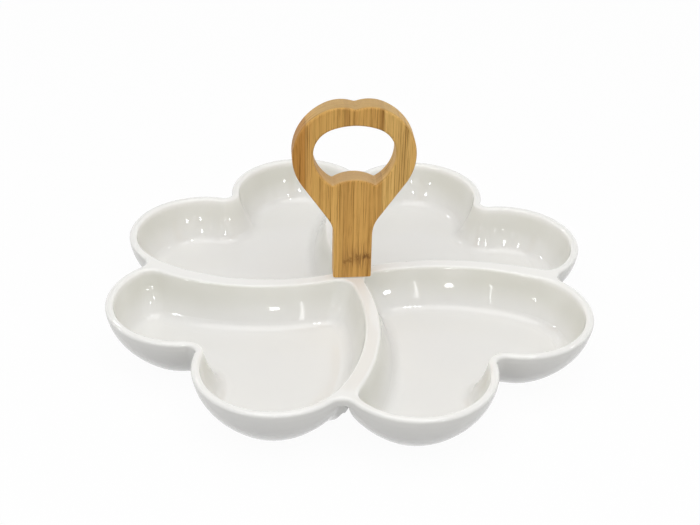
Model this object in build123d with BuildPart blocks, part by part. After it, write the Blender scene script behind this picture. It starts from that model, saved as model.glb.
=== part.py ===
# A porcelain serving dish of four heart-shaped bowls in a ring, carried by a bamboo handle
# that one machine screw clamps down onto the hub where the dividers cross.
# Millimetres, +Z up. The dish stands on z = 0 with its hub on the Z axis.
import os
from math import acos, atan2, cos, degrees, radians, sin, sqrt, tan

from build123d import *

# Plan of the rim
heart_count = 4
rim_height = 34.0           # table to the top of the rim
lobe_radius = 42.3          # outer edge of one lobe
lobe_reach = 97.3           # hub to the middle of a lobe
lobe_spread = 23.3          # degrees between a lobe and the middle line of its heart
cleft_radius = 5.0          # outside rounding between the two lobes of a heart
notch_radius = 7.5          # outside rounding between two hearts
rim_width = 4.3
rim_round = 1.7

# Dividers, bowed like a pinwheel
divider_bow = 14.0
divider_flare = 1.5         # extra bow of the side that opens out into a lobe
divider_width = 6.8
divider_drop = 2.6          # hub and dividers lie this far below the rim
drop_start = 28.0           # the hub is flat out to this radius
drop_margin = 0.5           # the dividers reach the rim this far short of the notch
drop_lead = 12.0            # pulls the climb out toward the rim

# Inside of a bowl
bowl_depth = 26.0
wall_inset = 9.5            # the wall leans in this much on its way to the floor
wall_power = 1.7            # over 1 leans in more toward the floor
floor_round = 7.5
tip_radius = 9.0
corner_radius = 10.0

# Outside and underside
base_height = 2.5           # underside of the bowls, above the table
side_inset = 18.5           # the outside draws in this much on its way to the base
side_power = 2.0
base_round = 6.0
web_thickness = 5.0         # of the rim across a notch, over the gap between two hearts
fork_radius = 1.5           # outside rounding between two hearts, under the web
hub_thickness = 11.4        # top of the hub to its underside, where the washer bears
groove_drop = 1.0           # the hollow under a divider stops this far below that underside
groove_round = 3.6
groove_crown = 3.2          # half width of the hollow at its top
groove_knee = 10.5          # half width of the hollow where it turns out under the bowls
knee_height = 7.0
knee_round = 8.0
groove_half = 20.0          # half width of the hollow at the table
groove_overrun = 9.0        # degrees that the hollow runs out past the notch
slot_cover = 3.4            # least porcelain over the slot in the roof of the hollow
slot_half = 2.9
slot_crown = 1.1
slot_round = 0.8
slot_overlap = 4.0          # the slot begins this far below the roof of the hollow
slot_start = 21.0           # hub to the near end of the slot
seat_radius = 8.5
pocket_half = 17.0          # radius of the middle hollow at the table
foot_inset = 19.0           # mouth of the bowl to the outer edge of its foot ring
foot_width = 3.5
foot_corner = 4.0
foot_round = 0.8
section_shares = (0.0, 0.3, 0.6, 0.8, 1.0)

# Screw and what it clamps
screw_diameter = 4.9
screw_length = 30.0         # under the head
head_diameter = 9.5
head_height = 3.3
head_round = 1.4
cross_length = 4.6          # across the arms of the driver recess
cross_width = 1.1
cross_depth = 2.0
cross_taper = 8.0           # degrees
screw_point = 0.7
thread_fit = 0.05
bore_diameter = 6.5
washer_bore = 5.5
steel_washer_diameter = 12.0
steel_washer_thickness = 1.0
rubber_washer_diameter = 14.0
rubber_washer_thickness = 1.6
washer_round = 0.25
insert_diameter = 8.0
insert_length = 14.0
insert_sink = 0.5           # the insert ends this far inside the foot
insert_lead = 0.6
barb_count = 6
barb_pitch = 1.8
barb_depth = 0.8
tip_relief = 6.0
tip_space = 2.0             # free depth past the point of the screw
slip_gap = 0.05             # between the clamped faces that turn on each other
gasket_thickness = 0.8
gasket_inset = 0.6
gasket_corner = 1.2

# Handle, cut from a laminated board
handle_turn = 6.6           # degrees about the hub
board_thickness = 12.0
edge_round = 1.5
stem_half = 10.7
taper_angle = 34.0          # degrees from upright
throat_radius = 20.0
ring_radius = 30.4
ring_height = 75.8          # foot to the middle of the ring
ring_offset = 3.0
hump_radius = 20.0
hump_angle = 65.0
hole_top_radius = 35.0
hole_rise = 18.2            # middle of the ring to the top of the finger hole
hole_shoulder_radius = 15.0
hole_half = 22.1
hole_side_radius = 22.2
hole_bump_radius = 21.0
hole_bump_drop = 13.6       # middle of the ring down to the bump in the finger hole
hole_corner_round = 1.5
dimple_round = 2.5          # in the dip at the top of the ring

os.makedirs("parts", exist_ok=True)

hub_top = rim_height - divider_drop
seat_height = hub_top - hub_thickness
groove_top = seat_height - groove_drop
slot_rise = hub_top - slot_cover - groove_top + slot_overlap
side_height = rim_height - base_height
web_share = web_thickness / side_height
hole_top = ring_height + hole_rise
hole_bump_top = ring_height - hole_bump_drop
foot_height = hub_top + gasket_thickness + slip_gap
rubber_bottom = seat_height - slip_gap - rubber_washer_thickness
steel_bottom = rubber_bottom - steel_washer_thickness
screw_reach = steel_bottom + screw_length - foot_height
insert_depth = insert_sink + insert_length
turn = radians(handle_turn)
foot_plane = Plane(origin=(0, 0, foot_height), z_dir=(0, 0, -1))
gasket_plane = Plane(origin=(0, 0, hub_top), x_dir=(cos(turn), sin(turn), 0), z_dir=(0, 0, 1))
handle_plane = Plane(
    origin=(0, 0, foot_height), x_dir=(cos(turn), sin(turn), 0), z_dir=(sin(turn), -cos(turn), 0))
first_angle = radians(45 - lobe_spread)
first_lobe = Vector(lobe_reach * cos(first_angle), lobe_reach * sin(first_angle))
second_lobe = Vector(first_lobe.Y, first_lobe.X)

# A divider runs from the hub to the edge of the notch between two hearts
divider_span = first_lobe.X + sqrt((lobe_radius + notch_radius)**2 - first_lobe.Y**2) - notch_radius
drop_end = divider_span - drop_margin
drop_turn = drop_end - drop_lead
bow_radius = (divider_span**2 / 4 + divider_bow**2) / (2 * divider_bow)
bow_centre = Vector(divider_span / 2, divider_bow - bow_radius)
far_bow = divider_bow + divider_flare
far_radius = (divider_span**2 / 4 + far_bow**2) / (2 * far_bow)
bow_axis = Axis((bow_centre.X, bow_centre.Y, 0), (0, 0, 1))
bow_half_angle = degrees(atan2(divider_span / 2, bow_radius - divider_bow))
groove_start = radians(90 - bow_half_angle - groove_overrun)
groove_sweep = 2 * bow_half_angle + groove_overrun
slot_sweep = groove_sweep - degrees(slot_start / bow_radius)
groove_plane = Plane(
    origin=(bow_centre.X, bow_centre.Y, 0),
    x_dir=(cos(groove_start), sin(groove_start), 0),
    z_dir=(sin(groove_start), -cos(groove_start), 0))

# Middles of the handle's arcs, in its own plane with the foot at zero
hump_out = ring_radius - hump_radius
hump_at = Vector(
    ring_offset + hump_out * cos(radians(hump_angle)), ring_height + hump_out * sin(radians(hump_angle)))
hump_start = 180 - degrees(acos(hump_at.X / hump_radius))
ring_end = Vector(
    ring_offset + ring_radius * cos(radians(taper_angle)),
    ring_height - ring_radius * sin(radians(taper_angle)))
throat_height = ring_end.Y - (ring_end.X - stem_half) / tan(radians(taper_angle))
shoulder_out = hole_top_radius - hole_shoulder_radius
shoulder_side = hole_half - hole_shoulder_radius
shoulder_at = Vector(
    shoulder_side, hole_top - hole_top_radius + sqrt(shoulder_out**2 - shoulder_side**2))
shoulder_bearing = degrees(acos(shoulder_side / shoulder_out))


def crossing(centre_a, radius_a, centre_b, radius_b, side):
    """Where two circles cross, left (1) or right (-1) of the line from a to b."""
    gap = (centre_b - centre_a).length
    along = (gap**2 + radius_a**2 - radius_b**2) / (2 * gap)
    across = sqrt(radius_a**2 - along**2)
    direction = (centre_b - centre_a) * (1 / gap)
    normal = Vector(-direction.Y, direction.X)
    return centre_a + direction * along + normal * (across * side)


def bearing(start, end):
    return degrees(atan2(end.Y - start.Y, end.X - start.X))


# The flared side of the next divider runs straight on into the second lobe
far_centre = crossing(
    Vector(0, 0), far_radius + divider_width / 2, second_lobe, far_radius - lobe_radius + rim_width, -1)
hole_side_at = Vector(hole_half - hole_side_radius, shoulder_at.Y)
hole_bump_at = Vector(0, hole_bump_top - hole_bump_radius)
hole_corner = crossing(hole_side_at, hole_side_radius, hole_bump_at, hole_bump_radius, 1)
side_bearing = bearing(hole_side_at, hole_corner)
bump_bearing = bearing(hole_bump_at, hole_corner)


def bend(centre, radius, start, end):
    """An arc between two bearings, to the left up to five eighths of a turn, else to the right."""
    swing = (end - start) % 360
    CenterArc((centre.X, centre.Y), radius, start, swing if swing < 225 else swing - 360)


def heart_outline(inset, corner=corner_radius):
    """Mouth of the bowl between the first two dividers, drawn in by inset."""
    lobe = lobe_radius - rim_width - inset
    near_side = bow_radius + divider_width / 2 + inset
    far_side = far_radius - inset
    cleft = cleft_radius + rim_width + inset
    tip_centre = crossing(far_centre, far_side - tip_radius, bow_centre, near_side + tip_radius, -1)
    corner_centre = crossing(bow_centre, near_side + corner, first_lobe, lobe - corner, -1)
    cleft_centre = crossing(first_lobe, lobe + cleft, second_lobe, lobe + cleft, -1)
    tip_in = bearing(far_centre, tip_centre)
    tip_out = bearing(tip_centre, bow_centre)
    corner_in = bearing(corner_centre, bow_centre)
    corner_out = bearing(first_lobe, corner_centre)
    lobe_out = bearing(far_centre, second_lobe)
    bend(bow_centre, near_side, tip_out + 180, corner_in + 180)
    bend(corner_centre, corner, corner_in, corner_out)
    bend(first_lobe, lobe, corner_out, bearing(first_lobe, cleft_centre))
    bend(cleft_centre, cleft, bearing(cleft_centre, first_lobe), bearing(cleft_centre, second_lobe))
    bend(second_lobe, lobe, bearing(second_lobe, cleft_centre), lobe_out)
    bend(far_centre, far_side, lobe_out, tip_in)
    bend(tip_centre, tip_radius, tip_in, tip_out)


def flower_outline(share, between):
    """The outside of all the hearts, a share of the way down to the base."""
    inset = side_inset * share**side_power
    lobe = lobe_radius - inset
    cleft = cleft_radius + inset
    notch = between + inset
    mirror_lobe = Vector(first_lobe.X, -first_lobe.Y)
    cleft_centre = crossing(first_lobe, lobe + cleft, second_lobe, lobe + cleft, -1)
    notch_centre = crossing(mirror_lobe, lobe + notch, first_lobe, lobe + notch, -1)
    middles = (mirror_lobe, notch_centre, first_lobe, cleft_centre, second_lobe)
    for turn in range(heart_count):
        step = 360 / heart_count * turn
        lobe_before, notch_at, lobe_a, cleft_at, lobe_b = [spot.rotate(Axis.Z, step) for spot in middles]
        next_notch = notch_at.rotate(Axis.Z, 360 / heart_count)
        bend(notch_at, notch, bearing(notch_at, lobe_before), bearing(notch_at, lobe_a))
        bend(lobe_a, lobe, bearing(lobe_a, notch_at), bearing(lobe_a, cleft_at))
        bend(cleft_at, cleft, bearing(cleft_at, lobe_a), bearing(cleft_at, lobe_b))
        bend(lobe_b, lobe, bearing(lobe_b, cleft_at), bearing(lobe_b, next_notch))


def is_ring(edge, radius):
    return edge.geom_type == GeomType.CIRCLE and abs(edge.radius - radius) < 0.001


with BuildPart() as bowl_space:
    for share in section_shares:
        with BuildSketch(Plane.XY.offset(rim_height - bowl_depth * share)):
            with BuildLine():
                heart_outline(wall_inset * share**wall_power)
            make_face()
    loft()
    fillet(bowl_space.faces().sort_by(Axis.Z)[0].edges(), floor_round)

with BuildPart() as foot_ring:
    with BuildSketch(Plane.XY):
        with BuildLine():
            heart_outline(foot_inset, foot_corner)
        make_face()
        offset(amount=-foot_width, mode=Mode.SUBTRACT)
    extrude(amount=base_height)
    fillet(foot_ring.faces().sort_by(Axis.Z)[0].edges(), foot_round)

with BuildPart() as dish:
    for share in section_shares:
        depth_share = web_share + (1 - web_share) * share
        with BuildSketch(Plane.XY.offset(rim_height - side_height * depth_share)):
            with BuildLine():
                flower_outline(depth_share, fork_radius)
            make_face()
    loft()
    fillet(dish.faces().sort_by(Axis.Z)[0].edges(), base_round)
    for share in section_shares:
        with BuildSketch(Plane.XY.offset(rim_height - side_height * web_share * share)):
            with BuildLine():
                flower_outline(web_share * share, notch_radius)
            make_face()
    loft()
    with PolarLocations(0, heart_count):
        add(bowl_space.part, mode=Mode.SUBTRACT)
    with BuildSketch(Plane.XZ):
        with BuildLine():
            Line((0, rim_height), (0, hub_top))
            Line((0, hub_top), (drop_start, hub_top))
            Bezier(
                (drop_start, hub_top), (drop_turn, hub_top), (drop_turn, rim_height), (drop_end, rim_height))
            Line((drop_end, rim_height), (0, rim_height))
        make_face()
    revolve(axis=Axis.Z, mode=Mode.SUBTRACT)
    with BuildSketch(groove_plane):
        with Locations((bow_radius, 0)):
            groove = Polygon(
                (-groove_half, 0), (groove_half, 0), (groove_knee, knee_height), (groove_crown, groove_top),
                (-groove_crown, groove_top), (-groove_knee, knee_height), align=None)
        fillet(groove.vertices().group_by(Axis.Y)[-1], groove_round)
        fillet(groove.vertices().group_by(Axis.Y)[1], knee_round)
    groove_cut = revolve(axis=bow_axis, revolution_arc=groove_sweep, mode=Mode.PRIVATE)
    with BuildSketch(groove_plane):
        with Locations((bow_radius, groove_top - slot_overlap)):
            slot = Polygon(
                (-slot_half, 0), (slot_half, 0),
                (slot_crown, slot_rise), (-slot_crown, slot_rise), align=None)
        fillet(slot.vertices().group_by(Axis.Y)[-1], slot_round)
    slot_cut = revolve(axis=bow_axis, revolution_arc=slot_sweep, mode=Mode.PRIVATE)
    with PolarLocations(0, heart_count):
        add(groove_cut, mode=Mode.SUBTRACT)
        add(slot_cut, mode=Mode.SUBTRACT)
    with BuildSketch(Plane.XZ):
        Polygon((0, 0), (pocket_half, 0), (seat_radius, seat_height), (0, seat_height), align=None)
    revolve(axis=Axis.Z, mode=Mode.SUBTRACT)
    with Locations((0, 0, hub_top)):
        Hole(bore_diameter / 2)
    top_edges = dish.edges().filter_by(lambda edge: edge.bounding_box().min.Z > hub_top - 0.05)
    flat_rings = top_edges.filter_by(
        lambda edge: any(is_ring(edge, radius) for radius in (drop_start, drop_end, bore_diameter / 2)))
    fillet(top_edges - flat_rings, rim_round)
    with PolarLocations(0, heart_count):
        add(foot_ring.part)

with BuildPart() as handle_gasket:
    with BuildSketch(gasket_plane):
        RectangleRounded(2 * (stem_half - gasket_inset), board_thickness - 2 * gasket_inset, gasket_corner)
        Circle(bore_diameter / 2, mode=Mode.SUBTRACT)
    extrude(amount=gasket_thickness)

with BuildPart() as handle:
    with BuildSketch(handle_plane) as board:
        with BuildLine():
            CenterArc((hump_at.X, hump_at.Y), hump_radius, hump_start, hump_angle - hump_start)
            ring = CenterArc((ring_offset, ring_height), ring_radius, hump_angle, -hump_angle - taper_angle)
            throat = Polyline(ring @ 1, (stem_half, throat_height), (stem_half, 0), (0, 0))
            fillet(throat.vertices().sort_by(Axis.Y)[-2], throat_radius)
            mirror(about=Plane.YZ)
        make_face()
        with BuildLine():
            CenterArc((0, hole_top - hole_top_radius), hole_top_radius, 90, shoulder_bearing - 90)
            CenterArc(
                (shoulder_at.X, shoulder_at.Y), hole_shoulder_radius, shoulder_bearing, -shoulder_bearing)
            CenterArc((hole_side_at.X, hole_side_at.Y), hole_side_radius, 0, side_bearing)
            CenterArc((0, hole_bump_at.Y), hole_bump_radius, bump_bearing, 90 - bump_bearing)
            mirror(about=Plane.YZ)
        make_face(mode=Mode.SUBTRACT)
        dimple = board.vertices().filter_by_position(Axis.X, -0.01, 0.01).sort_by(Axis.Y)[-1]
        fillet(dimple, dimple_round)
        hole_corners = board.vertices().filter_by(lambda spot: abs(spot.Y - hole_corner.Y) < 0.01)
        fillet(hole_corners, hole_corner_round)
    extrude(amount=board_thickness / 2, both=True)
    board_edges = handle.faces().filter_by(handle_plane).edges()
    fillet(board_edges.filter_by(lambda edge: edge.center().Z > foot_height + 0.01), edge_round)
    with Locations(foot_plane):
        Hole(insert_diameter / 2, depth=insert_depth)
        Hole(tip_relief / 2, depth=screw_reach + tip_space)

with BuildPart() as threaded_insert:
    with BuildSketch(Plane.XY.offset(foot_height + insert_sink)):
        Circle(insert_diameter / 2)
        Circle(screw_diameter / 2 + thread_fit, mode=Mode.SUBTRACT)
    extrude(amount=insert_length)
    chamfer(threaded_insert.edges().group_by(Axis.Z)[-1].sort_by(SortBy.RADIUS)[-1], insert_lead)
    with BuildSketch(Plane.XZ):
        with Locations((insert_diameter / 2, foot_height + insert_sink + insert_length / 2)):
            with GridLocations(0, barb_pitch, 1, barb_count):
                RegularPolygon(barb_depth, 3, rotation=180)
    revolve(axis=Axis.Z, mode=Mode.SUBTRACT)

with BuildPart() as clamp_screw:
    with BuildSketch(Plane.XY.offset(steel_bottom)):
        Circle(screw_diameter / 2)
    extrude(amount=screw_length)
    chamfer(clamp_screw.edges().group_by(Axis.Z)[-1], screw_point)
    with BuildSketch(Plane.XY.offset(steel_bottom)):
        Circle(head_diameter / 2)
    extrude(amount=-head_height)
    fillet(clamp_screw.edges().group_by(Axis.Z)[0], head_round)
    with BuildSketch(Plane.XY.offset(steel_bottom - head_height)):
        Rectangle(cross_length, cross_width)
        Rectangle(cross_width, cross_length)
    extrude(amount=cross_depth, taper=cross_taper, mode=Mode.SUBTRACT)

with BuildPart() as steel_washer:
    with BuildSketch(Plane.XY.offset(steel_bottom)):
        Circle(steel_washer_diameter / 2)
        Circle(washer_bore / 2, mode=Mode.SUBTRACT)
    extrude(amount=steel_washer_thickness)
    fillet(steel_washer.edges().filter_by(GeomType.CIRCLE).sort_by(SortBy.RADIUS)[-2:], washer_round)

with BuildPart() as rubber_washer:
    with BuildSketch(Plane.XY.offset(rubber_bottom)):
        Circle(rubber_washer_diameter / 2)
        Circle(washer_bore / 2, mode=Mode.SUBTRACT)
    extrude(amount=rubber_washer_thickness)
    fillet(rubber_washer.edges().filter_by(GeomType.CIRCLE).sort_by(SortBy.RADIUS)[-2:], washer_round)

dish.part.label = "dish"
export_step(dish.part, "parts/dish.step")
handle.part.label = "handle"
export_step(handle.part, "parts/handle.step")
handle_gasket.part.label = "handle_gasket"
export_step(handle_gasket.part, "parts/handle_gasket.step")
threaded_insert.part.label = "threaded_insert"
export_step(threaded_insert.part, "parts/threaded_insert.step")
clamp_screw.part.label = "clamp_screw"
export_step(clamp_screw.part, "parts/clamp_screw.step")
steel_washer.part.label = "steel_washer"
export_step(steel_washer.part, "parts/steel_washer.step")
rubber_washer.part.label = "rubber_washer"
export_step(rubber_washer.part, "parts/rubber_washer.step")
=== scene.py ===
import math

import bpy
from mathutils import Matrix, Vector

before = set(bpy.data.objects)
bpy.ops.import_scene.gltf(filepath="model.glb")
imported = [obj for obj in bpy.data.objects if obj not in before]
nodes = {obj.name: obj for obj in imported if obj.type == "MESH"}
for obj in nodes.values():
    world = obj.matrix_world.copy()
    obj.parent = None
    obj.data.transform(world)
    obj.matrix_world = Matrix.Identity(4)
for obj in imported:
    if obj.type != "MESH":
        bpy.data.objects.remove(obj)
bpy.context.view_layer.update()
scene = bpy.context.scene
scene.view_settings.view_transform = "Standard"
print("frame loaded:", sorted(nodes))

usualSpan = (0.3, 0.7)                 # a noise seldom leaves these
whole = (0.0, 1.0)
noChange = (1.0, 1.0, 1.0)             # multiplying by this tone leaves a colour as it is


# small node helpers, used by every finish below
def emptyTree(owner, outputKind):
    owner.use_nodes = True
    tree = owner.node_tree
    tree.nodes.clear()
    return tree, tree.nodes.new(outputKind)


def addNode(tree, kind, **settings):
    node = tree.nodes.new(kind)
    for key, value in settings.items():
        if key in node.inputs:
            node.inputs[key].default_value = value
        else:
            setattr(node, key, value)
    return node


def plug(tree, value, socket):         # takes a number, a colour or another node's output
    if isinstance(value, (int, float)):
        socket.default_value = value
    elif isinstance(value, tuple):
        socket.default_value = (*value, 1.0)
    else:
        tree.links.new(value, socket)


def startMaterial(name):
    mat = bpy.data.materials.new(name)
    tree, out = emptyTree(mat, "ShaderNodeOutputMaterial")
    shader = tree.nodes.new("ShaderNodeBsdfPrincipled")
    plug(tree, shader.outputs["BSDF"], out.inputs["Surface"])
    return mat, tree, shader


def coordinates(tree):
    outputs = tree.nodes.new("ShaderNodeTexCoord").outputs
    return outputs["Object"], outputs["Normal"]


def sums(tree, operation, *terms):
    node = addNode(tree, "ShaderNodeMath", operation=operation)
    for term, socket in zip(terms, node.inputs):
        plug(tree, term, socket)
    return node.outputs[0]


def times(tree, *factors):
    product = factors[0]
    for factor in factors[1:]:
        product = sums(tree, "MULTIPLY", product, factor)
    return product


def awayFrom(tree, value, middle):
    return sums(tree, "ABSOLUTE", sums(tree, "SUBTRACT", value, middle))


def fade(tree, value, low, high, atLow=0.0, atHigh=1.0, kind="SMOOTHSTEP"):
    node = addNode(tree, "ShaderNodeMapRange", interpolation_type=kind)
    for term, socket in zip((value, low, high, atLow, atHigh), node.inputs):
        plug(tree, term, socket)
    return node.outputs[0]


def ramp(tree, value, stops, interpolation="LINEAR"):
    node = tree.nodes.new("ShaderNodeValToRGB")
    node.color_ramp.interpolation = interpolation
    elements = node.color_ramp.elements
    while len(elements) < len(stops):
        elements.new(0.5)
    for element, (place, colour) in zip(elements, stops):
        element.position = place
        element.color = (*colour, 1.0)
    plug(tree, value, node.inputs[0])
    return node.outputs[0]


def between(tree, value, span, first, second):
    return ramp(tree, value, list(zip(span, (first, second))))


def mixColour(tree, factor, first, second, blend="MIX"):
    node = addNode(tree, "ShaderNodeMix", data_type="RGBA", blend_type=blend)
    plug(tree, factor, node.inputs[0])
    plug(tree, first, node.inputs[6])  # 6, 7 and output 2 are the ones for colours
    plug(tree, second, node.inputs[7])
    return node.outputs[2]


def mixShader(tree, share, first, second):
    node = tree.nodes.new("ShaderNodeMixShader")
    for value, socket in zip((share, first.outputs[0], second.outputs[0]), node.inputs):
        plug(tree, value, socket)
    return node


def noise(tree, vector, scale, detail=2.0, roughness=0.5):
    node = addNode(tree, "ShaderNodeTexNoise", Scale=scale, Detail=detail, Roughness=roughness)
    plug(tree, vector, node.inputs["Vector"])
    return node.outputs["Fac"]


def stretch(tree, vector, scale, turn=0.0):
    node = addNode(tree, "ShaderNodeMapping", Scale=scale, Rotation=(0, 0, turn))
    plug(tree, vector, node.inputs["Vector"])
    return node.outputs[0]


def split(tree, vector):
    node = tree.nodes.new("ShaderNodeSeparateXYZ")
    plug(tree, vector, node.inputs[0])
    return node.outputs


def bump(tree, height, strength, distance):
    node = addNode(tree, "ShaderNodeBump", Distance=distance)
    plug(tree, height, node.inputs["Height"])
    plug(tree, strength, node.inputs["Strength"])
    return node.outputs["Normal"]


def shaded(colour, share):
    return tuple(share * channel for channel in colour)


def dress(nodeName, mat):
    mesh = nodes[nodeName].data
    mesh.materials.clear()
    mesh.materials.append(mat)
    for polygon in mesh.polygons:
        polygon.use_smooth = True


# porcelain: a thick glossy white glaze, wiped off the foot rings; heights are metres above the table
glaze = {
    "white": (0.874, 0.866, 0.834), "cool": (0.860, 0.855, 0.830),
    "driftScale": 16.0, "driftSpan": (0.35, 0.62),
    "pooled": (0.842, 0.836, 0.818),   # where it lies thick on the bowl floors
    "poolHigh": 0.030, "poolLow": 0.008,
    "poolScale": 30.0, "poolShare": (0.35, 0.8),
    "wallShade": (0.722, 0.716, 0.655),      # painted shade high on the inner walls, duller and warmer
    "shadeLow": 0.009, "shadeFull": 0.025,
    "shadeTop": 0.0335, "shadeBreak": 0.0035,  # the painted shade stops just under the rim
    "shadeWalls": (0.02, 0.20),          # the normal's z, from outer walls to inner ones
    "shadeFloors": (0.93, 0.55),         # and from floors to inner walls
    "shadeScale": 22.0, "shadeShare": (0.55, 1.0),
    "bisque": (0.76, 0.74, 0.69), "bisqueDark": 0.88,
    "bisqueTop": 0.0007, "bisqueEdge": 0.0003,  # where the glaze stops, and how wide its edge is
    "bisqueRough": 0.6, "gritScale": 2600.0, "gritDepth": 0.08,
    "gloss": (0.030, 0.060), "glossScale": 70.0, "glossSpan": (0.2, 0.8),
    "swellScale": 46.0, "swellDeep": 0.0020,
    "swellWalls": 0.20, "swellFloors": 0.05, "swellLevel": (0.90, 0.99),
    "ior": 1.5,
}


def makeGlaze():
    mat, tree, shader = startMaterial("whiteGlaze")
    where, normal = coordinates(tree)
    height = split(tree, where)[2]
    lean = split(tree, normal)[2]
    drift = noise(tree, where, glaze["driftScale"], detail=3.0)
    colour = between(tree, drift, glaze["driftSpan"], glaze["cool"], glaze["white"])
    pool = times(
        tree,
        fade(tree, height, glaze["poolHigh"], glaze["poolLow"]),
        fade(tree, noise(tree, where, glaze["poolScale"]), *usualSpan, *glaze["poolShare"]),
    )
    colour = mixColour(tree, pool, colour, glaze["pooled"])
    # painted shade: a duller, warmer colour high on the inner walls, fading out under the rim
    wallShade = times(
        tree,
        fade(tree, lean, *glaze["shadeWalls"]),
        fade(tree, lean, *glaze["shadeFloors"]),
        fade(tree, height, glaze["shadeTop"], glaze["shadeTop"] - glaze["shadeBreak"]),
        fade(tree, height, glaze["shadeLow"], glaze["shadeFull"]),
        fade(tree, noise(tree, where, glaze["shadeScale"]), *usualSpan, *glaze["shadeShare"]),
    )
    colour = mixColour(tree, wallShade, colour, glaze["wallShade"])

    # bare foot
    bare = fade(tree, height, glaze["bisqueTop"] + glaze["bisqueEdge"], glaze["bisqueTop"])
    grit = noise(tree, where, glaze["gritScale"], detail=3.0)
    bisqueDark = shaded(glaze["bisque"], glaze["bisqueDark"])
    bisque = between(tree, grit, usualSpan, bisqueDark, glaze["bisque"])
    plug(tree, mixColour(tree, bare, colour, bisque), shader.inputs["Base Color"])
    smear = noise(tree, where, glaze["glossScale"], detail=3.0)
    polish = fade(tree, smear, *glaze["glossSpan"], *glaze["gloss"])
    rough = sums(tree, "MULTIPLY_ADD", bare, glaze["bisqueRough"], polish)
    plug(tree, rough, shader.inputs["Roughness"])

    # slow swell of a dipped glaze, which settles level on the floors, and a dry grain on the bare foot
    dry = times(tree, grit, bare, glaze["gritDepth"])
    swell = sums(tree, "ADD", noise(tree, where, glaze["swellScale"], detail=1.5), dry)
    strength = fade(tree, lean, *glaze["swellLevel"], glaze["swellWalls"], glaze["swellFloors"])
    plug(tree, bump(tree, swell, strength, glaze["swellDeep"]), shader.inputs["Normal"])
    shader.inputs["IOR"].default_value = glaze["ior"]
    return mat


dress("dish", makeGlaze())
print("porcelain done")


# bamboo board: flat laminated strips, grain upright, one culm node low on the stem; lengths in metres
bamboo = {
    "turn": 6.6,                       # degrees about the hub, as the board stands
    "flat": (0.55, 0.9),               # how squarely the normal leaves the board, from narrow edges to faces
    "span": 0.045,                     # half width that the strip colours cover
    "strips": [                        # left edge of each strip across the board, and its tone
        (-0.0450, (0.552, 0.267, 0.060)),
        (-0.0262, (0.704, 0.402, 0.118)),
        (-0.0225, (0.709, 0.415, 0.121)),
        (-0.0056, (0.688, 0.393, 0.112)),
        (0.0152, (0.775, 0.490, 0.162)),
        (0.0300, (0.793, 0.488, 0.160)),
    ],
    "stray": 0.0006,                   # how far a strip's tone wanders over its edge
    "burnt": (0.30, 0.135, 0.032),
    "lineCore": 0.2,                   # share of a line's half width that has its full tone
    "bands": [                         # growth bands: middle, half width, strength
        (-0.0040, 0.0016, 0.55), (0.0143, 0.0013, 0.60),
        (0.0232, 0.0007, 0.35), (0.0268, 0.0006, 0.45),
    ],
    "bandSpan": (0.3, 0.62), "bandThin": 0.3,
    "bandRise": (0.080, 0.115), "bandStem": 0.4,  # weaker on the stem than on the ring
    "seams": [(-0.0262, 0.00050), (-0.0056, 0.00042), (0.0152, 0.00042)],
    "seamShare": 0.45,
    "broadSpan": (0.3, 0.66), "broadDark": (0.82, 0.78, 0.72),
    "fibres": [(0.34, (0.42, 0.34, 0.24)), (0.48, (0.95, 0.93, 0.89)), (0.60, noChange)],
    "footRise": (0.034, 0.062), "footDark": (0.94, 0.93, 0.92),
    "fleckSpan": (0.62, 0.74), "fleckShare": 0.5,
    "rough": (0.56, 0.44), "roughSpan": (0.25, 0.75),
    "relief": 0.25, "reliefDeep": 0.0003, "nodeRelief": 0.8,
    "sheen": 0.14,
    "grains": {                        # stretch across, through and up the board, scale, detail, roughness
        "wander": ((1, 1, 0.15), 60.0, 2.0, 0.5),
        "ragged": ((1, 1, 0.02), 1500.0, 2.0, 0.5),
        "broad": ((1, 0.4, 0.012), 420.0, 2.0, 0.5),
        "onFace": ((1, 0.6, 0.013), 1500.0, 5.0, 0.72),
        "onEdge": ((0.05, 0.8, 0.012), 1500.0, 5.0, 0.72),
        "fleck": ((1, 1, 0.035), 2500.0, 1.0, 0.5),
        "jag": ((1, 1, 0.1), 430.0, 2.0, 0.6),
        "patch": ((1, 1, 0.5), 700.0, 3.0, 0.65),
        "streak": ((1, 1, 0.05), 1500.0, 2.0, 0.5),
        "pores": ((1, 1, 0.2), 1700.0, 2.0, 0.5),
    },
    "culm": {                          # the node
        "dark": (0.205, 0.092, 0.024), "share": 0.95,
        "height": 0.0435, "jag": 0.0070,  # its line strays up and down by half of this
        "from": -0.0056,               # it starts at the middle strip
        "climb": (-0.006, 0.011), "climbRise": 0.0025,
        "deep": 0.0034, "core": 0.0004,
        "patchSpan": (0.36, 0.58), "patchThin": 0.25,
        "smear": 4, "smearShare": 0.75,  # smears reach this many times as far along the grain
        "smearSpan": (0.42, 0.62),
        "across": (-0.006, 0.010), "strength": (0.7, 1.15),  # fainter on the left
    },
    "sawn": {                          # the narrow edges
        "low": (0.660, 0.462, 0.232),
        "top": (0.468, 0.318, 0.141),  # painted shade, darker on the ring's top than on the lower edges
        "shadeRise": (0.105, 0.125),
        "poreSpan": (0.52, 0.34), "poreShare": 0.2,
        "level": (0.55, 0.97), "share": (0.10, 0.80),  # paler as the edge cuts across the grain
    },
}


def grain(tree, square, name):
    scaling, scale, detail, roughness = bamboo["grains"][name]
    return noise(tree, stretch(tree, square, scaling), scale, detail, roughness)


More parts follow.
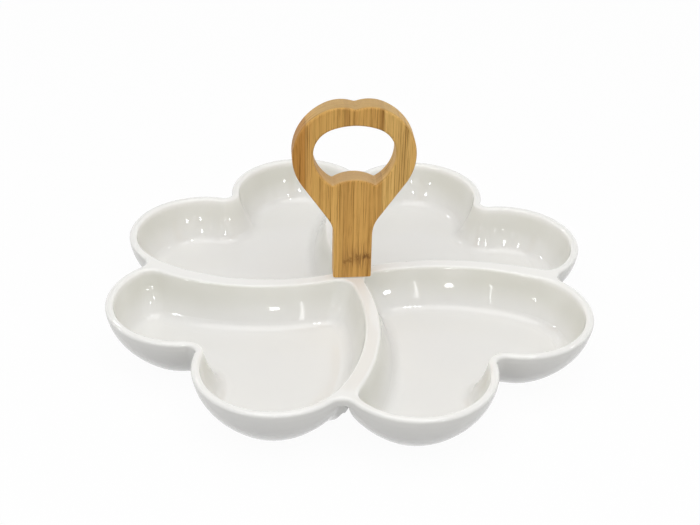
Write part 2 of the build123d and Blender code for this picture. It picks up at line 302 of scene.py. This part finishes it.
def stripTones(tree, square, across, up):
    span = bamboo["span"]
    wander = sums(tree, "MULTIPLY_ADD", grain(tree, square, "wander"), bamboo["stray"], across)
    stops = [((left + span) / (2 * span), tone) for left, tone in bamboo["strips"]]
    colour = ramp(tree, fade(tree, wander, -span, span, kind="LINEAR"), stops, "CONSTANT")
    ragged = fade(tree, grain(tree, square, "ragged"), *bamboo["bandSpan"], bamboo["bandThin"], 1.0)
    rise = fade(tree, up, *bamboo["bandRise"], bamboo["bandStem"], 1.0)
    for middle, half, share in bamboo["bands"]:
        line = fade(tree, awayFrom(tree, wander, middle), half, bamboo["lineCore"] * half)
        colour = mixColour(tree, times(tree, line, ragged, rise, share), colour, bamboo["burnt"])
    for middle, half in bamboo["seams"]:
        off = awayFrom(tree, across, middle)
        line = fade(tree, off, half, bamboo["lineCore"] * half, 0.0, bamboo["seamShare"])
        colour = mixColour(tree, line, colour, bamboo["burnt"])
    return colour


def fibreGrain(tree, square, flat):    # edges need their own, or the faces' fibres show as contours there
    onFace = grain(tree, square, "onFace")
    onEdge = grain(tree, square, "onEdge")
    return sums(tree, "MULTIPLY_ADD", sums(tree, "SUBTRACT", onFace, onEdge), flat, onEdge)


def culmRidge(tree, square, across, up):  # a ragged line, smeared up and down the grain
    culm = bamboo["culm"]
    climb = fade(tree, across, *culm["climb"], 0.0, culm["climbRise"], "LINEAR")
    lowest = culm["height"] - culm["jag"] / 2
    jag = sums(tree, "MULTIPLY_ADD", grain(tree, square, "jag"), culm["jag"], lowest)
    away = awayFrom(tree, up, sums(tree, "ADD", climb, jag))
    patch = fade(tree, grain(tree, square, "patch"), *culm["patchSpan"], culm["patchThin"], 1.0)
    line = times(tree, fade(tree, away, culm["deep"], culm["core"]), patch)
    streak = fade(tree, grain(tree, square, "streak"), *culm["smearSpan"])
    reach = culm["smear"] * culm["deep"]
    smear = times(tree, fade(tree, away, reach, culm["core"], 0.0, culm["smearShare"]), streak)
    return times(
        tree,
        sums(tree, "MAXIMUM", line, smear),
        fade(tree, across, *culm["across"], *culm["strength"], "LINEAR"),
        sums(tree, "GREATER_THAN", across, culm["from"]),
    )


def endGrain(tree, square, up):
    sawn = bamboo["sawn"]
    # painted shade: the edge tone darkens towards the top of the ring
    height = fade(tree, up, *sawn["shadeRise"])
    edgeToneAndShade = between(tree, height, whole, sawn["low"], sawn["top"])
    pores = fade(tree, grain(tree, square, "pores"), *sawn["poreSpan"], 0.0, sawn["poreShare"])
    return mixColour(tree, pores, edgeToneAndShade, bamboo["burnt"])


def makeBamboo():
    mat, tree, shader = startMaterial("caramelBamboo")
    culm, sawn = bamboo["culm"], bamboo["sawn"]
    where, normal = coordinates(tree)
    turnBack = -math.radians(bamboo["turn"])
    square = stretch(tree, where, (1, 1, 1), turnBack)
    board = split(tree, square)
    across, up = board[0], board[2]
    facing = split(tree, stretch(tree, normal, (1, 1, 1), turnBack))
    flat = fade(tree, sums(tree, "ABSOLUTE", facing[1]), *bamboo["flat"])

    colour = stripTones(tree, square, across, up)
    fibre = fibreGrain(tree, square, flat)
    broad = grain(tree, square, "broad")
    tones = [
        between(tree, broad, bamboo["broadSpan"], bamboo["broadDark"], noChange),
        ramp(tree, fibre, bamboo["fibres"]),
        between(tree, fade(tree, up, *bamboo["footRise"]), whole, bamboo["footDark"], noChange),
    ]
    for tone in tones:
        colour = mixColour(tree, 1.0, colour, tone, "MULTIPLY")
    fleck = fade(tree, grain(tree, square, "fleck"), *bamboo["fleckSpan"], 0.0, bamboo["fleckShare"])
    colour = mixColour(tree, times(tree, fleck, flat), colour, bamboo["burnt"])
    ridge = culmRidge(tree, square, across, up)
    colour = mixColour(tree, times(tree, ridge, flat, culm["share"]), colour, culm["dark"])
    level = fade(tree, sums(tree, "ABSOLUTE", facing[2]), *sawn["level"], *sawn["share"])
    cut = times(tree, sums(tree, "SUBTRACT", 1.0, flat), level)
    colour = mixColour(tree, cut, colour, endGrain(tree, square, up))

    plug(tree, colour, shader.inputs["Base Color"])
    rough = fade(tree, fibre, *bamboo["roughSpan"], *bamboo["rough"])
    plug(tree, rough, shader.inputs["Roughness"])
    height = sums(tree, "MULTIPLY_ADD", ridge, bamboo["nodeRelief"], fibre)
    plug(tree, bump(tree, height, bamboo["relief"], bamboo["reliefDeep"]), shader.inputs["Normal"])
    shader.inputs["Specular IOR Level"].default_value = bamboo["sheen"]
    return mat


dress("handle", makeBamboo())
print("bamboo done")


# fixings under the hub, the metal ones with fine rings from the lathe
lathe = {
    "stretch": (0.1, 0.1, 1), "scale": 5200.0, "dark": 0.82,
    "smudgeScale": 420.0, "smudge": 0.14,
}


def turnedMetal(name, colour, roughness):
    mat, tree, shader = startMaterial(name)
    where = coordinates(tree)[0]
    rings = noise(tree, stretch(tree, where, lathe["stretch"]), lathe["scale"], detail=3.0)
    tone = between(tree, rings, usualSpan, shaded(colour, lathe["dark"]), colour)
    plug(tree, tone, shader.inputs["Base Color"])
    smudge = noise(tree, where, lathe["smudgeScale"], detail=3.0)
    rough = fade(tree, smudge, *usualSpan, roughness, roughness + lathe["smudge"])
    plug(tree, rough, shader.inputs["Roughness"])
    shader.inputs["Metallic"].default_value = 1.0
    return mat, tree, shader, where


screw = {
    "steel": (0.60, 0.60, 0.59), "rough": 0.24,
    "pitch": 0.0008, "threadDeep": 0.0004,
    "shankFrom": 0.01745,              # metres, just above the head
}


def makeScrewSteel():
    mat, tree, shader, where = turnedMetal("screwSteel", screw["steel"], screw["rough"])
    x, y, z = split(tree, where)
    angle = sums(tree, "DIVIDE", sums(tree, "ARCTAN2", y, x), 2 * math.pi)
    turns = sums(tree, "DIVIDE", z, screw["pitch"])
    lead = sums(tree, "FRACT", sums(tree, "SUBTRACT", turns, angle))
    slope = sums(tree, "ABSOLUTE", sums(tree, "MULTIPLY_ADD", lead, 2.0, -1.0))
    crest = sums(tree, "SUBTRACT", 1.0, slope)
    shank = sums(tree, "GREATER_THAN", z, screw["shankFrom"])
    thread = bump(tree, times(tree, crest, shank), 1.0, screw["threadDeep"])
    plug(tree, thread, shader.inputs["Normal"])
    return mat


steelWasher = {
    "steel": (0.62, 0.62, 0.61), "rough": 0.3,
    "brushScale": 1800.0, "brush": 0.1, "brushDeep": 0.0001,
}


def makeWasherSteel():
    mat, tree, shader, where = turnedMetal("washerSteel", steelWasher["steel"], steelWasher["rough"])
    brush = noise(tree, where, steelWasher["brushScale"])
    scratches = bump(tree, brush, steelWasher["brush"], steelWasher["brushDeep"])
    plug(tree, scratches, shader.inputs["Normal"])
    return mat


insert = {
    "brass": (0.72, 0.52, 0.22), "rough": 0.22,
    "knurlStretch": (0.2, 0.2, 1), "knurlScale": 3000.0, "knurl": 0.12, "knurlDeep": 0.0001,
}


def makeBrass():
    mat, tree, shader, where = turnedMetal("insertBrass", insert["brass"], insert["rough"])
    knurl = noise(tree, stretch(tree, where, insert["knurlStretch"]), insert["knurlScale"])
    plug(tree, bump(tree, knurl, insert["knurl"], insert["knurlDeep"]), shader.inputs["Normal"])
    return mat


rubberWasher = {
    "rubber": (0.028, 0.028, 0.029), "rough": (0.62, 0.78),
    "dusty": 1.8, "dustScale": 900.0, "dustSpan": (0.35, 0.75),
    "skinScale": 3500.0, "skin": 0.2, "skinDeep": 0.0001,
}


def makeRubber():
    mat, tree, shader = startMaterial("blackRubber")
    where = coordinates(tree)[0]
    dust = noise(tree, where, rubberWasher["dustScale"], detail=4.0)
    dusty = shaded(rubberWasher["rubber"], rubberWasher["dusty"])
    tone = between(tree, dust, rubberWasher["dustSpan"], rubberWasher["rubber"], dusty)
    plug(tree, tone, shader.inputs["Base Color"])
    plug(tree, fade(tree, dust, *usualSpan, *rubberWasher["rough"]), shader.inputs["Roughness"])
    skin = noise(tree, where, rubberWasher["skinScale"])
    plug(tree, bump(tree, skin, rubberWasher["skin"], rubberWasher["skinDeep"]), shader.inputs["Normal"])
    return mat


gasket = {
    "silicone": (0.80, 0.79, 0.75), "cloudy": 0.94, "cloudScale": 260.0,
    "rough": (0.34, 0.46),
    "glow": 0.25, "glowReach": (0.001, 0.001, 0.0008),  # metres that light goes into it
}


def makeSilicone():
    mat, tree, shader = startMaterial("milkySilicone")
    where = coordinates(tree)[0]
    cloud = noise(tree, where, gasket["cloudScale"], detail=3.0)
    cloudy = shaded(gasket["silicone"], gasket["cloudy"])
    tone = between(tree, cloud, usualSpan, cloudy, gasket["silicone"])
    plug(tree, tone, shader.inputs["Base Color"])
    plug(tree, fade(tree, cloud, *usualSpan, *gasket["rough"]), shader.inputs["Roughness"])
    shader.inputs["Subsurface Weight"].default_value = gasket["glow"]
    shader.inputs["Subsurface Radius"].default_value = gasket["glowReach"]
    return mat


dress("clamp_screw", makeScrewSteel())
dress("steel_washer", makeWasherSteel())
dress("threaded_insert", makeBrass())
dress("rubber_washer", makeRubber())
dress("handle_gasket", makeSilicone())
print("fixings done")


# camera, from the photo's perspective
shot = {
    "lens": 63.95, "sensor": 36.0,     # millimetres
    "nearest": 0.01, "distance": 0.7119, "aim": (-0.00084, 0.0065, 0.034),  # metres
    "elevation": 32.47, "turn": 1.4, "roll": 1.206,  # degrees
}


def addCamera():
    data = bpy.data.cameras.new("photoCamera")
    data.lens = shot["lens"]
    data.sensor_width = shot["sensor"]
    data.sensor_fit = "HORIZONTAL"
    data.clip_start = shot["nearest"]
    cam = bpy.data.objects.new("photoCamera", data)
    scene.collection.objects.link(cam)
    spin = Matrix.Rotation(math.radians(shot["turn"]), 4, "Z")
    tilt = Matrix.Rotation(math.radians(90 - shot["elevation"]), 4, "X")
    roll = Matrix.Rotation(math.radians(shot["roll"]), 4, "Z")
    back = Matrix.Translation((0, 0, shot["distance"]))
    cam.matrix_world = spin @ Matrix.Translation(shot["aim"]) @ tilt @ back @ roll
    scene.camera = cam


addCamera()
print("camera done")


# studio: white sweep, soft light from above, small lamps that only show as glints in the glaze
studio = {
    "white": (1.0, 1.0, 1.0),          # what the camera and reflections see of floor and sky
    "floorSize": 6.0, "floorDrop": 0.0002,  # metres, just under the foot rings
    "floorBounce": (0.34, 0.34, 0.34), "floorPaper": (0.9, 0.9, 0.9),
    "floorGlow": 0.96,                 # the rest is paper, which takes the shadow
    "skyTone": (0.8, 0.8, 0.8), "skyLow": 2.40, "skyHigh": 0.66, "skyFrom": 0.40,
    "softboxPower": 2.37, "softboxSize": (0.6, 0.6),
    "softboxAt": (0.0, -0.16, 0.70), "softboxAim": (0, 0, 0.03),  # near, so the back bowls are darker
    "glintSize": (0.075, 0.075), "glintPower": 0.62,
    "glintFar": 1.4, "glintAim": (0, 0, 0.02),
    "glints": [                        # two rows in front, one at each side, and three overhead
        (0.42, -0.75, 0.50), (-0.47, -0.78, 0.42), (0.03, -0.90, 0.43),
        (0.55, -0.80, 0.20), (-0.58, -0.80, 0.17), (0.10, -0.97, 0.20),
        (0.72, 0.15, 0.68), (-0.91, 0.04, 0.42),
        (0.27, -0.34, 0.90), (-0.50, 0.56, 0.67), (-0.62, -0.60, 0.50),
    ],
    "strips": [(-0.24, -0.95, 0.20), (0.33, -0.92, 0.18)],  # tall and thin, they draw upright streaks
    "stripSize": (0.022, 0.50), "stripPower": 0.24,
}


def backdropRays(tree):
    path = tree.nodes.new("ShaderNodeLightPath").outputs
    seen = sums(tree, "MAXIMUM", path["Is Camera Ray"], path["Is Glossy Ray"])
    return sums(tree, "MAXIMUM", seen, path["Is Transmission Ray"])


def addFloor():
    size = studio["floorSize"]
    corners = [(-size, -size, 0), (size, -size, 0), (size, size, 0), (-size, size, 0)]
    mesh = bpy.data.meshes.new("studioFloor")
    mesh.from_pydata(corners, [], [(0, 1, 2, 3)])
    floor = bpy.data.objects.new("studioFloor", mesh)
    scene.collection.objects.link(floor)
    floor.location.z = -studio["floorDrop"]
    mat = bpy.data.materials.new("floorWhite")
    tree, out = emptyTree(mat, "ShaderNodeOutputMaterial")
    bounce = addNode(tree, "ShaderNodeBsdfDiffuse", Color=(*studio["floorBounce"], 1))
    paper = addNode(tree, "ShaderNodeBsdfDiffuse", Color=(*studio["floorPaper"], 1))
    glow = addNode(tree, "ShaderNodeEmission", Color=(*studio["white"], 1), Strength=1.0)
    white = mixShader(tree, studio["floorGlow"], paper, glow)
    mix = mixShader(tree, backdropRays(tree), bounce, white)
    plug(tree, mix.outputs[0], out.inputs["Surface"])
    mesh.materials.append(mat)


def addWorld():
    world = bpy.data.worlds.new("studioWorld")
    scene.world = world
    tree, out = emptyTree(world, "ShaderNodeOutputWorld")
    toward = tree.nodes.new("ShaderNodeTexCoord").outputs["Generated"]
    height = split(tree, toward)[2]
    sky = addNode(tree, "ShaderNodeBackground", Color=(*studio["skyTone"], 1))
    light = fade(tree, height, 0.0, studio["skyFrom"], studio["skyLow"], studio["skyHigh"])
    plug(tree, light, sky.inputs["Strength"])
    white = addNode(tree, "ShaderNodeBackground", Color=(*studio["white"], 1), Strength=1.0)
    mix = mixShader(tree, backdropRays(tree), sky, white)
    plug(tree, mix.outputs[0], out.inputs["Surface"])


def addLamp(name, place, aim, size, power):
    data = bpy.data.lights.new(name, "AREA")
    data.shape = "RECTANGLE"
    data.size, data.size_y = size
    data.energy = power
    lamp = bpy.data.objects.new(name, data)
    scene.collection.objects.link(lamp)
    lamp.location = place
    lamp.rotation_euler = (Vector(aim) - Vector(place)).to_track_quat("-Z", "Y").to_euler()
    return lamp


def addGlints(name, directions, size, power):
    for count, toward in enumerate(directions, 1):
        place = Vector(toward).normalized() * studio["glintFar"]
        lamp = addLamp("%s%d" % (name, count), place, studio["glintAim"], size, power)
        lamp.visible_diffuse = False   # it shines in the glaze and adds no light


addFloor()
addWorld()
addLamp(
    "overheadSoftbox", studio["softboxAt"], studio["softboxAim"],
    studio["softboxSize"], studio["softboxPower"],
)
addGlints("glint", studio["glints"], studio["glintSize"], studio["glintPower"])
addGlints("strip", studio["strips"], studio["stripSize"], studio["stripPower"])
print("studio done")
